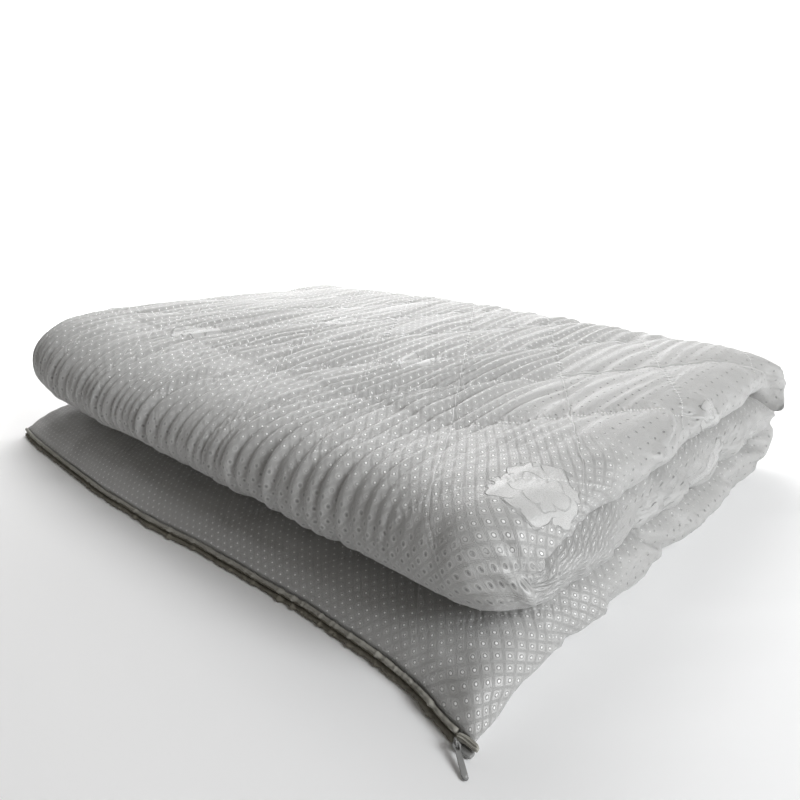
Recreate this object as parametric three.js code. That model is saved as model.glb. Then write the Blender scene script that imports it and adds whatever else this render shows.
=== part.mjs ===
// A quilted guest mattress in a zipped cover, folded in three, in millimetres.
//
// X runs along the folds, Y from the zipped front edge to the back fold, Z up.
// The pad is one back-and-forth section: the bottom layer lies on the floor with its
// zipped end in front, the back fold leads to the middle layer, and the round front fold
// leads to the top layer, whose free end lies over the back fold.
// Face A is the top of the top layer, the outside of the front fold, the underside of the
// middle layer and the top of the bottom layer. Face B is the other side of the pad.

import * as THREE from "three";

// Stack: heights of the layers above the floor
const BOTTOM_LAYER_TOP = 50;
const LAYER_GAP = 1.5;
const MIDDLE_LAYER_TOP = 101.5;
const STACK_TOP = 154;
const MIDDLE_LAYER_UNDER = BOTTOM_LAYER_TOP + LAYER_GAP;
const TOP_LAYER_UNDER = MIDDLE_LAYER_TOP + LAYER_GAP;

// Folds: each is half an ellipse about a crease line that runs along X
const FRONT_FOLD = { y: 120, depth: 125, creaseDepth: 8, steps: 18 };
const BACK_FOLD = { y: 505, depth: 80, creaseDepth: 6, steps: 12 };
const FOLD_FULLNESS = 0.86;
const HIDDEN_ROWS = 3;

// Free end of the top layer, at the back: a rounded edge, closed by a narrow seam, that
// hangs a little over the back fold
const FREE_END = { y: 562, depth: 28, droop: 14, angles: [14, 38, 64] };

// Quilting: diamonds of stitch lines on face A, and the pleats that cross the folds
const DIAMOND_X = 138;
const DIAMOND_Y = 190;
const LATTICE_X = 300;
const LATTICE_Y = 310;
const CELLS_PER_DIAMOND = 6;
const STITCH_DEPTH = 4;
const PLEAT_ON_TOP = 0.9;
const PLEAT_ON_FOLD = 2.2;
const COLUMN = DIAMOND_X / CELLS_PER_DIAMOND;
const ROW = DIAMOND_Y / CELLS_PER_DIAMOND;
const FIRST_COLUMN = -31;
const LAST_COLUMN = 5;

// Sides: how far each stretch of the pad reaches in X, and the length of the rounding that
// leads from each face into the side. Outer edges roll off, inner ones meet in a crease.
// On the left the rounding is shorter.
const SIDES = {
  topLayer: { right: 452, left: 446, roundA: 58, roundB: 16 },
  frontFold: { right: 454, left: 446, roundA: 42, roundB: 16 },
  middleLayer: { right: 452, left: 446, roundA: 16, roundB: 16 },
  backFold: { right: 446, left: 442, roundA: 14, roundB: 30 },
  bottomLayer: { right: 457, left: 447, roundA: 17, roundB: 28 },
  ledge: { right: 453, left: 442, roundA: 34, roundB: 26 },
  frontEdge: { right: 458, left: 440, roundA: 14, roundB: 10 },
};
const LEFT_ROUNDING = 0.6;
const SIDE_HEIGHTS = [0.9, 0.5, 0, -0.5, -0.9];
const SIDE_DRAW_IN = 5;

// Loft: how much higher the upper layers stand where the folds are looser. The front
// left corner of the bottom layer is pressed down under them.
const LOFT = { frontLeft: 35, backLeft: -4, backRight: 9, cornerPress: 11 };
const LOFT_ACROSS = { from: 100, to: -450, power: 1.5 };
const LOFT_ALONG = { from: 60, to: 460 };
const PRESS_ACROSS = { from: -120, to: -450 };
const PRESS_ALONG = { from: 250, to: 60 };

// Plan of the front fold: how far back its foremost line lies, by place along X
const FRONT_FOLD_PLAN = [
  { x: -450, back: 4 },
  { x: -330, back: -14 },
  { x: -150, back: -20 },
  { x: 100, back: -12 },
  { x: 300, back: -8 },
  { x: 400, back: -10 },
  { x: 450, back: 0 },
];

// The bottom layer in front of the fold: the height of its upper face, and how far each
// row follows the curved front edge
const LEDGE = [
  { y: 60, top: 48, follow: 0 },
  { y: 42, top: 46.5, follow: 0.15 },
  { y: 24, top: 44, follow: 0.35 },
  { y: 6, top: 39.5, follow: 0.6 },
  { y: -10, top: 31, follow: 0.85 },
  { y: -20, top: 23, follow: 0.95 },
  { y: -28, top: 13.5, follow: 1 },
];

// Plan of the front edge: its corners stand out and its middle is drawn in
const FRONT_EDGE_PLAN = [
  { x: -440, back: -1 },
  { x: -380, back: -8 },
  { x: -267, back: -12 },
  { x: -133, back: -15 },
  { x: -8, back: -11 },
  { x: 83, back: -1 },
  { x: 169, back: 3 },
  { x: 243, back: 7 },
  { x: 350, back: 5 },
  { x: 387, back: 1 },
  { x: 414, back: -6 },
  { x: 433, back: -12 },
  { x: 458, back: -14 },
];

// Zip along the front edge: two piped lips with the chain of teeth between them
const CLEARANCE = 0.3;
const ZIP_FROM = -436;
const ZIP_TO = 443.5;
const LIPS = {
  zip_lip_upper: { z: 10.7, halfHeight: 2, halfDepth: 2.3 },
  zip_chain: { z: 6.9, halfHeight: 1.4, halfDepth: 1.5 },
  zip_lip_lower: { z: 2.6, halfHeight: 2.5, halfDepth: 3 },
};

// Slider and folded tape at the near end of the zip, where the lips and the chain stop, and
// the loop and pull that hang from the slider. y is a piece's middle and z its underside.
const SLIDER = { length: 16, width: 7.6, height: 4.9, y: -47.2, z: 0.4 };
const TAPE_END = { length: 20, width: 5, height: 7, pleats: 4, y: -45.6 };
const PULL_HOLE = new THREE.Vector3(448.8, -51.7, 8.1);
const PULL_TIP = new THREE.Vector3(468.2, -65, 1.3);
const PULL = { headRadius: 3.8, holeRadius: 1.6, neck: 1.9, blade: 2.7, thickness: 1.6 };
const LOOP = { radius: 2.5, wire: 0.7 };

const COVER = { color: 0xc9c9c8, roughness: 0.55, metalness: 0 };
const TAPE = { color: 0x9a968a, roughness: 0.7, metalness: 0 };
const TEETH = { color: 0x8f8b80, roughness: 0.5, metalness: 0 };
const PULL_FINISH = { color: 0xb9b9b6, roughness: 0.4, metalness: 0 };

const mix = (p, q, t) => p + (q - p) * t;
const ramp = (value, from, to) => THREE.MathUtils.clamp((value - from) / (to - from), 0, 1);

// Value of a table's column at x, eased from row to row
function lookUp(table, column, x) {
  const last = table.length - 1;
  if (x <= table[0].x) return table[0][column];
  if (x >= table[last].x) return table[last][column];
  const i = table.findIndex((row) => row.x > x) - 1;
  const t = THREE.MathUtils.smoothstep(x, table[i].x, table[i + 1].x);
  return mix(table[i][column], table[i + 1][column], t);
}

// Places in X where the front edge bends: every second column, and both corners
function edgeColumns() {
  const columns = [SIDES.frontEdge.right];
  for (let i = LAST_COLUMN; i >= FIRST_COLUMN; i -= 2) columns.unshift(LATTICE_X + i * COLUMN);
  return [-SIDES.frontEdge.left, ...columns];
}
const EDGE_COLUMNS = edgeColumns();

// How far the front edge is drawn in at x. It runs straight from bend to bend.
function edgeBack(x) {
  const found = EDGE_COLUMNS.findIndex((column) => column > x);
  const i = found < 0 ? EDGE_COLUMNS.length - 1 : Math.max(1, found);
  const [from, to] = [EDGE_COLUMNS[i - 1], EDGE_COLUMNS[i]];
  const backAt = (column) => lookUp(FRONT_EDGE_PLAN, "back", column);
  return mix(backAt(from), backAt(to), (x - from) / (to - from));
}
const edgeY = (x) => LEDGE.at(-1).y + edgeBack(x);

function mixSides(from, to, t) {
  const keys = ["right", "left", "roundA", "roundB"];
  return Object.fromEntries(keys.map((key) => [key, mix(from[key], to[key], t)]));
}

// Sides of a fold, which pass from one layer's through the fold's own to the next layer's
function sidesOfFold(before, fold, after, t) {
  return t < 0.5 ? mixSides(before, fold, 2 * t) : mixSides(fold, after, 2 * t - 1);
}

// Outline of the front fold: a half ellipse whose lower quarter is a little fuller
function foldOutline(t) {
  const power = t < Math.PI / 2 ? 1 : FOLD_FULLNESS;
  const rise = Math.sign(Math.cos(t)) * Math.abs(Math.cos(t)) ** power;
  return [Math.max(0, Math.sin(t)) ** power, rise];
}

// Stations along the pad, from the free end of the top layer to the zipped front edge.
// a and b are the points [y, z] of faces A and B where the pad has its full thickness.
function padStations() {
  const stations = [];
  const add = (a, b, sides, more = {}) =>
    stations.push({ a, b, sides, quilt: 0, pleat: 0, fold: 0, follow: 0, ...more });

  const half = (STACK_TOP - TOP_LAYER_UNDER) / 2;
  const middle = (STACK_TOP + TOP_LAYER_UNDER) / 2;
  for (const angle of FREE_END.angles) {
    const t = THREE.MathUtils.degToRad(angle);
    const y = FREE_END.y + FREE_END.depth * Math.cos(t);
    const rise = half * Math.sin(t);
    const centre = middle - FREE_END.droop * Math.cos(t) ** 2;
    add([y, centre + rise], [y, centre - rise], SIDES.topLayer);
  }
  const lastRow = LATTICE_Y + DIAMOND_Y + ROW;
  for (let y = lastRow; y > FRONT_FOLD.y + 1; y -= ROW) {
    add([y, STACK_TOP], [y, TOP_LAYER_UNDER], SIDES.topLayer, { quilt: 1, pleat: PLEAT_ON_TOP });
  }

  const foldZ = (MIDDLE_LAYER_TOP + TOP_LAYER_UNDER) / 2;
  for (let i = 0; i <= FRONT_FOLD.steps; i += 1) {
    const t = (Math.PI * i) / FRONT_FOLD.steps;
    const height = t < Math.PI / 2 ? STACK_TOP - foldZ : foldZ - MIDDLE_LAYER_UNDER;
    const y = FRONT_FOLD.y;
    const [out, rise] = foldOutline(t);
    const a = [y - FRONT_FOLD.depth * out, foldZ + height * rise];
    const b = [y - FRONT_FOLD.creaseDepth * Math.sin(t), foldZ + (LAYER_GAP / 2) * Math.cos(t)];
    const sides = sidesOfFold(SIDES.topLayer, SIDES.frontFold, SIDES.middleLayer, i / FRONT_FOLD.steps);
    const upper = Math.max(0, Math.cos(0.75 * t));
    const pleat = mix(PLEAT_ON_TOP, PLEAT_ON_FOLD, Math.sin(t)) * upper;
    add(a, b, sides, { quilt: upper, pleat, fold: Math.sin(t) ** 2 });
  }

  for (let i = 1; i <= HIDDEN_ROWS; i += 1) {
    const y = mix(FRONT_FOLD.y, BACK_FOLD.y, i / (HIDDEN_ROWS + 1));
    add([y, MIDDLE_LAYER_UNDER], [y, MIDDLE_LAYER_TOP], SIDES.middleLayer);
  }

  const backZ = (BOTTOM_LAYER_TOP + MIDDLE_LAYER_UNDER) / 2;
  for (let i = 0; i <= BACK_FOLD.steps; i += 1) {
    const t = (Math.PI * i) / BACK_FOLD.steps;
    const height = t < Math.PI / 2 ? MIDDLE_LAYER_TOP - backZ : backZ;
    const y = BACK_FOLD.y;
    const a = [y + BACK_FOLD.creaseDepth * Math.sin(t), backZ + (LAYER_GAP / 2) * Math.cos(t)];
    const b = [y + BACK_FOLD.depth * Math.sin(t), backZ + height * Math.cos(t)];
    add(a, b, sidesOfFold(SIDES.middleLayer, SIDES.backFold, SIDES.bottomLayer, i / BACK_FOLD.steps));
  }

  for (let i = 1; i <= HIDDEN_ROWS + 1; i += 1) {
    const y = mix(BACK_FOLD.y, LEDGE[0].y, i / (HIDDEN_ROWS + 2));
    add([y, BOTTOM_LAYER_TOP], [y, 0], SIDES.bottomLayer);
  }
  for (const { y, top, follow } of LEDGE) {
    const t = ramp(y, LEDGE[0].y, LEDGE.at(-1).y);
    const sides = sidesOfFold(SIDES.bottomLayer, SIDES.ledge, SIDES.frontEdge, t);
    add([y, top], [y, 0], sides, { follow, quilt: 0.6 * (1 - t) });
  }
  return stations;
}

// Running length of face A at each station, equal to y on the top layer
function pathOfFaceA(stations) {
  const start = stations.findIndex(({ fold, a }) => fold === 0 && a[0] === FRONT_FOLD.y);
  const path = stations.map(({ a }) => a[0]);
  for (let i = start + 1; i < stations.length; i += 1) {
    const [y0, z0] = stations[i - 1].a;
    const [y1, z1] = stations[i].a;
    path[i] = path[i - 1] - Math.hypot(y1 - y0, z1 - z0);
  }
  return path;
}

// Outward normal of face A at a station, in the plane of the section
function normalOfFaceA(stations, i) {
  const before = stations[Math.max(0, i - 1)].a;
  const after = stations[Math.min(stations.length - 1, i + 1)].a;
  const { a, b } = stations[i];
  const [dy, dz] = [after[0] - before[0], after[1] - before[1]];
  const facing = Math.sign(dy * (a[1] - b[1]) - dz * (a[0] - b[0]));
  const length = Math.hypot(dy, dz) * facing;
  return [-dz / length, dy / length];
}

// How far the stitch lines draw a side in: most where two lines meet near it
function drawIn(path, hand) {
  const phase = hand === "right" ? LATTICE_Y : LATTICE_Y + DIAMOND_Y / 2;
  return SIDE_DRAW_IN * Math.max(0, Math.cos((2 * Math.PI * (path - phase)) / DIAMOND_Y)) ** 2;
}

// Fullness at x: 1 inside, falling to 0 at the side on a quarter ellipse
function fullness(x, reach, rounding) {
  const beyond = Math.max(0, (Math.abs(x) - reach + rounding) / rounding);
  return Math.sqrt(Math.max(0, 1 - beyond * beyond));
}

// Depth of the quilting: 1 on the stitch lines, falling to 0 in a diamond's middle
function stitch(x, path) {
  const u = (x - LATTICE_X) / DIAMOND_X;
  const w = (path - LATTICE_Y) / DIAMOND_Y;
  const toLine = (value) => 2 * Math.abs(value - Math.round(value));
  return (1 - Math.min(toLine(u + w), toLine(u - w))) ** 2;
}

// How much a point stands higher for the loft of the layers under it
function loft(x, y, z) {
  const across = ramp(x, LOFT_ACROSS.from, LOFT_ACROSS.to) ** LOFT_ACROSS.power;
  const along = ramp(y, LOFT_ALONG.from, LOFT_ALONG.to);
  const left = mix(LOFT.frontLeft, LOFT.backLeft, along);
  const lift = mix(LOFT.backRight * along, left, across) * ramp(z, BOTTOM_LAYER_TOP, STACK_TOP);
  const pressed = ramp(x, PRESS_ACROSS.from, PRESS_ACROSS.to) * ramp(y, PRESS_ALONG.from, PRESS_ALONG.to);
  return lift - LOFT.cornerPress * pressed * ramp(z, 0, BOTTOM_LAYER_TOP);
}

// One closed ring of points around the pad: face A from left to right, the right side,
// face B from right to left and the left side
function ringAt(station, path, normal) {
  const { a, b, sides } = station;
  const ring = [];
  const reach = { right: sides.right - drawIn(path, "right"), left: sides.left - drawIn(path, "left") };
  const reachOf = (x) => (x > 0 ? reach.right : reach.left);
  const roundingOf = (x, rounding) => rounding * (x > 0 ? 1 : LEFT_ROUNDING);

  // height runs from -1 on face B to 1 on face A, and relief stands out from face A
  const place = (x, height, relief = 0) => {
    const share = (1 + height) / 2;
    const back = station.fold * Math.max(0, height) * lookUp(FRONT_FOLD_PLAN, "back", x);
    const y = mix(b[0], a[0], share) + normal[0] * relief + back + station.follow * edgeBack(x);
    const z = mix(b[1], a[1], share) + normal[1] * relief;
    ring.push([x, y, z + loft(x, y, z)]);
  };
  const placeSide = (hand, height) => {
    const sign = hand === "right" ? 1 : -1;
    const rounding = roundingOf(sign, height > 0 ? sides.roundA : sides.roundB);
    place(sign * (reach[hand] - rounding * (1 - Math.sqrt(1 - height * height))), height);
  };

  for (let i = FIRST_COLUMN; i <= LAST_COLUMN; i += 1) {
    const x = LATTICE_X + i * COLUMN;
    const full = fullness(x, reachOf(x), roundingOf(x, sides.roundA));
    const pleat = i % 2 === 0 ? station.pleat : -station.pleat;
    place(x, full, full * (pleat - STITCH_DEPTH * station.quilt * stitch(x, path)));
  }
  for (const height of SIDE_HEIGHTS) placeSide("right", height);
  for (let i = LAST_COLUMN; i >= FIRST_COLUMN; i -= 2) {
    const x = LATTICE_X + i * COLUMN;
    place(x, -fullness(x, reachOf(x), roundingOf(x, sides.roundB)));
  }
  for (const height of SIDE_HEIGHTS.toReversed()) placeSide("left", height);
  return ring;
}

// Triangles that close a flat ring: they zip its upper chain, face A, to the rest of the
// ring, always taking the next point that lies further left
function capOf(ring, columns) {
  const triangles = [];
  const lower = ring.map((point, i) => i).slice(columns).reverse();
  const xOf = (i) => (i === undefined ? Infinity : ring[i][0]);
  let [p, q] = [0, 0];
  while (p < columns - 1 || q < lower.length - 1) {
    const nextUpper = p < columns - 1 ? p + 1 : undefined;
    if (xOf(nextUpper) <= xOf(lower[q + 1])) {
      triangles.push([p, lower[q], nextUpper]);
      p += 1;
    } else {
      triangles.push([p, lower[q], lower[q + 1]]);
      q += 1;
    }
  }
  return triangles;
}

function meshOf(name, geometry, finish) {
  const mesh = new THREE.Mesh(geometry, new THREE.MeshStandardMaterial(finish));
  mesh.name = name;
  return mesh;
}

function geometryOf(points, triangles) {
  const geometry = new THREE.BufferGeometry();
  geometry.setAttribute("position", new THREE.Float32BufferAttribute(points.flat(), 3));
  geometry.setIndex(triangles.flat());
  geometry.computeVertexNormals();
  return geometry;
}

// The pad: rings joined from station to station. Each square of the grid is split along
// the stitch line that crosses it, if one does.
function makeMattress() {
  const stations = padStations();
  const path = pathOfFaceA(stations);
  const rings = stations.map((station, i) => ringAt(station, path[i], normalOfFaceA(stations, i)));
  const count = rings[0].length;
  const columns = LAST_COLUMN - FIRST_COLUMN + 1;
  const triangles = [];
  for (let r = 0; r < rings.length - 1; r += 1) {
    const row = Math.round((path[r] - LATTICE_Y) / ROW);
    for (let i = 0; i < count; i += 1) {
      const p = r * count + i;
      const q = r * count + ((i + 1) % count);
      const crossed = i < columns - 1 && (FIRST_COLUMN + i + row) % CELLS_PER_DIAMOND === 0;
      if (crossed) triangles.push([p, q + count, q], [p, p + count, q + count]);
      else triangles.push([p, p + count, q], [q, p + count, q + count]);
    }
  }
  const last = (rings.length - 1) * count;
  for (const [i, j, k] of capOf(rings[0], columns)) triangles.push([i, k, j]);
  for (const [i, j, k] of capOf(rings.at(-1), columns)) triangles.push([i + last, j + last, k + last]);
  return meshOf("mattress", geometryOf(rings.flat(), triangles), COVER);
}

// A rounded bead that follows the front edge: eight-sided rings along X, closed by fans
function makeEdgeBead(name, { z, halfHeight, halfDepth }, finish) {
  const corners = 8;
  const outTo = 1 / Math.cos(Math.PI / corners);
  const inner = EDGE_COLUMNS.filter((x) => x > ZIP_FROM + 1 && x < ZIP_TO - 1);
  const columns = [ZIP_FROM, ...inner, ZIP_TO];
  const points = [];
  const triangles = [];
  for (const x of columns) {
    const y = edgeY(x) - CLEARANCE - halfDepth;
    for (let c = 0; c < corners; c += 1) {
      const t = (2 * Math.PI * (c + 0.5)) / corners;
      points.push([x, y + halfDepth * outTo * Math.cos(t), z + halfHeight * outTo * Math.sin(t)]);
    }
  }
  const end = (columns.length - 1) * corners;
  for (let p = 0; p < end; p += 1) {
    const q = p - (p % corners) + ((p + 1) % corners);
    triangles.push([p, q, p + corners], [q, q + corners, p + corners]);
  }
  for (let c = 1; c < corners - 1; c += 1) {
    triangles.push([0, c + 1, c], [end, end + c, end + c + 1]);
  }
  return meshOf(name, geometryOf(points, triangles), finish);
}

// The slider's body: a rounded shield with bevelled edges, lying flat on the chain's end
function makeSlider() {
  const { length, width, height } = SLIDER;
  const bevel = 1;
  const [l, w] = [length / 2 - bevel, width / 2 - bevel];
  const outline = new THREE.Shape();
  outline.moveTo(-l, -0.6 * w);
  outline.quadraticCurveTo(-l, -w, -0.4 * l, -w);
  outline.lineTo(0.5 * l, -w);
  outline.quadraticCurveTo(l, -w, l, 0);
  outline.quadraticCurveTo(l, w, 0.5 * l, w);
  outline.lineTo(-0.4 * l, w);
  outline.quadraticCurveTo(-l, w, -l, 0.6 * w);
  outline.closePath();
  const settings = { depth: height - 2 * bevel, bevelThickness: bevel, bevelSize: bevel, bevelSegments: 2 };
  const geometry = new THREE.ExtrudeGeometry(outline, { ...settings, curveSegments: 5 });
  const slider = meshOf("zip_slider", geometry, PULL_FINISH);
  slider.position.set(ZIP_TO + CLEARANCE + length / 2, SLIDER.y, SLIDER.z + bevel);
  return slider;
}

// The folded end of the tape, just above the slider: a block whose long sides swell in
// upright pleats
function makeTapeEnd() {
  const { length, width, height, pleats } = TAPE_END;
  const steps = pleats * 6;
  const bevel = 0.8;
  const outline = [];
  for (const side of [-1, 1]) {
    for (let i = 0; i <= steps; i += 1) {
      const t = i / steps;
      const swell = 0.72 + 0.28 * Math.abs(Math.sin(pleats * Math.PI * t));
      const x = side * mix(-0.5, 0.5, t) * (length - 2 * bevel);
      outline.push(new THREE.Vector2(x, side * -(width / 2 - bevel) * swell));
    }
  }
  const settings = { depth: height - 2 * bevel, bevelThickness: bevel, bevelSize: bevel, bevelSegments: 1 };
  const end = meshOf("zip_tape_end", new THREE.ExtrudeGeometry(new THREE.Shape(outline), settings), TAPE);
  const z = SLIDER.z + SLIDER.height + CLEARANCE;
  end.position.set(ZIP_TO + CLEARANCE + length / 2, TAPE_END.y, z + bevel);
  return end;
}

// Axes of the pull: along from its hole to its tip, across level, and up out of its face
function pullAxes() {
  const along = new THREE.Vector3().subVectors(PULL_TIP, PULL_HOLE).normalize();
  const across = new THREE.Vector3(0, 0, 1).cross(along).normalize();
  const up = new THREE.Vector3().crossVectors(along, across);
  return { along, across, up };
}

// The pull: a flat blade with a round head and a hole, hanging from the loop to the floor
function makePull() {
  const { headRadius, holeRadius, neck, blade, thickness } = PULL;
  const length = PULL_HOLE.distanceTo(PULL_TIP);
  const joint = Math.asin(neck / headRadius);
  const outline = new THREE.Shape();
  outline.absarc(0, 0, headRadius, joint, 2 * Math.PI - joint, false);
  outline.lineTo(0.45 * length, -0.82 * blade);
  outline.lineTo(length - blade, -blade);
  outline.absarc(length - blade, 0, blade, -Math.PI / 2, Math.PI / 2, false);
  outline.lineTo(0.45 * length, 0.82 * blade);
  outline.closePath();
  const hole = new THREE.Path();
  hole.absarc(0, 0, holeRadius, 0, 2 * Math.PI, true);
  outline.holes.push(hole);
  const bevel = 0.35;
  const settings = { depth: thickness - 2 * bevel, bevelThickness: bevel, bevelSize: 0.3, bevelSegments: 1 };
  const geometry = new THREE.ExtrudeGeometry(outline, { ...settings, bevelOffset: -0.3, curveSegments: 10 });
  geometry.translate(0, 0, bevel - thickness / 2);
  const pull = meshOf("pull_tab", geometry, PULL_FINISH);
  const { along, across, up } = pullAxes();
  pull.quaternion.setFromRotationMatrix(new THREE.Matrix4().makeBasis(along, across, up));
  pull.position.copy(PULL_HOLE);
  return pull;
}

// The slider's loop: a small ring through the pull's hole, standing across its head
function makeLoop() {
  const loop = meshOf("pull_loop", new THREE.TorusGeometry(LOOP.radius, LOOP.wire, 6, 14), PULL_FINISH);
  const { along, across, up } = pullAxes();
  loop.quaternion.setFromRotationMatrix(new THREE.Matrix4().makeBasis(along, up, across.clone().negate()));
  loop.position.copy(PULL_HOLE).addScaledVector(along, -LOOP.radius);
  return loop;
}

// Puts the origin at the middle of the bottom of the whole object's box
function standOnOrigin(group) {
  const box = new THREE.Box3().setFromObject(group, true);
  const centre = box.getCenter(new THREE.Vector3());
  group.position.set(-centre.x, -centre.y, -box.min.z);
}

const model = new THREE.Group();
model.add(makeMattress());
model.add(makeEdgeBead("zip_lip_upper", LIPS.zip_lip_upper, TAPE));
model.add(makeEdgeBead("zip_chain", LIPS.zip_chain, TEETH));
model.add(makeEdgeBead("zip_lip_lower", LIPS.zip_lip_lower, TAPE));
model.add(makeTapeEnd(), makeSlider(), makeLoop(), makePull());
standOnOrigin(model);

export default model;
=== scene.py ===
"""Looks of a quilted guest mattress in a zipped cover, folded in three.

The shape tables are in millimetres in the plan of the folded pad: X runs along the folds, Y from
the zipped front edge to the back fold, Z up. MM turns them into metres, and the frame's own
mattress gives the shift from the plan to the part's frame.

Face A of the pad is the top of the top layer, the outside of the front fold, the underside of the
middle layer and the top of the bottom layer. Face B is the other side.
"""

import math

import bpy
import numpy as np
from mathutils import Matrix, Vector


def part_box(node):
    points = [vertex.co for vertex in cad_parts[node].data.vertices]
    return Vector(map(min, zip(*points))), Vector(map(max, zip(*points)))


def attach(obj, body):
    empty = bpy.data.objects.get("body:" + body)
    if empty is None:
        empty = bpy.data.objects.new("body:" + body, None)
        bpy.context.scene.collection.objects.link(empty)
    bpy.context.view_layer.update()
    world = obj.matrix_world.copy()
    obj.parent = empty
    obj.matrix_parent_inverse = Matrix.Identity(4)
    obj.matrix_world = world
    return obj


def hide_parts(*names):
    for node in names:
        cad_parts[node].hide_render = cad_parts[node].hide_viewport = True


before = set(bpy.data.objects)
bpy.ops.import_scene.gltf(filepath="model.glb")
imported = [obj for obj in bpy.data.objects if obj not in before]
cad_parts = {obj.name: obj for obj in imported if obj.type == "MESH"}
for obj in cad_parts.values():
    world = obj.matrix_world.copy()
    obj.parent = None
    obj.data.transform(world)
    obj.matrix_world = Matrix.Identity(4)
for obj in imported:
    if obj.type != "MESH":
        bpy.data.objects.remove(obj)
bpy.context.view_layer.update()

bl_info = {
    "name": "Folded Guest Mattress",
    "version": (1, 0, 0),
    "blender": (4, 5, 0),
    "location": "View3D > Sidebar > Mattress",
    "description": "Builds a quilted guest mattress in a zipped cover, folded in three",
    "category": "Object",
}

MM = 0.001
BODY = "root"

# Where the pad's lowest corner lies in the plan, and the shift that brings it to the frame's
PLAN_CORNER = np.array([-447.0, -43.0, 0.0])
SHIFT = np.array(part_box("mattress")[0]) / MM - PLAN_CORNER

# Folds of the pad: place, depth and the small fold of the inner face
FRONT_FOLD = {"y": 120.0, "depth": 125.0, "crease": 66.0, "fullness": 0.86}
BACK_FOLD = {"y": 505.0, "depth": 80.0, "crease": 20.0}
FREE_END = {"y": 561.75, "depth": 28.0, "droop": 14.0, "tip": math.radians(9)}

# Sides: reach to the right and left, and the rounding towards face A and face B
SIDES = {
    "top": (453, 446, 58, 30),
    "front_fold": (455, 446, 42, 30),
    "middle": (453, 446, 30, 30),
    "back_fold": (456, 442, 26, 30),
    "bottom": (457, 447, 30, 28),
    "ledge": (453, 442, 34, 26),
    "front_edge": (458, 440, 14, 10),
}

# The left side's share of the rounding, the X at which each side starts, the cloth from there to
# its tip, and how far the stitch lines draw a side in
LEFT_ROUNDING = 0.6
SIDE_FROM = 413.0
SIDE_CLOTH = 45.0
DRAWN_IN = 5.0

# Quilting: diamonds whose corners lie on the lattice through (x, path)
DIAMOND = (138.0, 190.0)
LATTICE = (300.0, 310.0)
CELLS = 40
COLUMN = DIAMOND[0] / CELLS
ROW = DIAMOND[1] / CELLS
RIDGE_SPACING = 18.0

# Perpendicular gap between stitch lines, and the length of a diamond's side, in metres
LINE_GAP = DIAMOND[0] * DIAMOND[1] / math.hypot(*DIAMOND) * MM
LINE_LENGTH = math.hypot(*DIAMOND) / 2 * MM

# Woven pattern in metres: pitch of the dots and of the pinholes, of the puckers and the stitches
DOT_PITCH = (0.0112, 0.0125)
PINHOLE_PITCH = (0.0117, 0.0143)
PUCKER_PITCH = 0.0068
STITCH_PITCH = 0.0034
# Colour of the pinholes, which is also the painted shade on the dots at the front of the front fold
PINHOLE_AND_DOT_SHADE_COLOUR = (0.12, 0.12, 0.12)

# Height of the front ledge and how far each row follows the curved front edge, by Y
LEDGE_Y = (-28, -20, -10, 6, 24, 42, 60)
LEDGE_TOP = (13.5, 23, 31, 39.5, 44, 46.5, 48)
LEDGE_FOLLOW = (1, 0.95, 0.85, 0.6, 0.35, 0.15, 0)

# Plans: how far back a line lies, by X
FOLD_PLAN_X = (-450, -330, -150, 100, 300, 400, 450)
FOLD_PLAN_BACK = (4, -14, -20, -12, -8, -10, 0)
EDGE_PLAN_X = (-440, -380, -267, -133, -8, 83, 169, 243, 350, 387, 414, 433, 458)
EDGE_PLAN_BACK = (-1, -8, -12, -15, -11, -1, 3, 7, 5, 1, -6, -12, -14)

# Loft of the looser layers, and the press on the front left corner of the bottom layer
LOFT = {"front_left": 35.0, "back_left": -4.0, "back_right": 9.0, "press": 11.0}

# The free end's drop and push to the back, and the front fold's shoulder forward and up
END_DROP = 50.75
END_PUSH = 7.0
SHOULDER = (10.0, 11.0)

# Zip along the front edge: its ends, and each roll's height, half height and half depth
ZIP_X = (-436.0, 443.5)
ZIP_ROLLS = {
    "zip_lip_upper": (10.7, 2.0, 2.3),
    "zip_chain": (6.9, 1.4, 1.5),
    "zip_lip_lower": (2.6, 2.5, 3.0),
}
TOOTH_PITCH = 1.7

# Tape end, and the pull: ring and wire, head and hole, thickness, and where hole and tip lie
TAPE_END = {"length": 19.4, "y": -45.5, "z": 9.1}
RING_RADIUS = 2.5
WIRE_RADIUS = 0.7
HEAD_REACH = 3.8
HOLE_RADIUS = 1.6
PULL_HALF_THICKNESS = 0.8
PULL_HOLE = np.array([448.8, -51.7, 8.1])
PULL_TIP = np.array([468.2, -65.0, 1.3])

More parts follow.
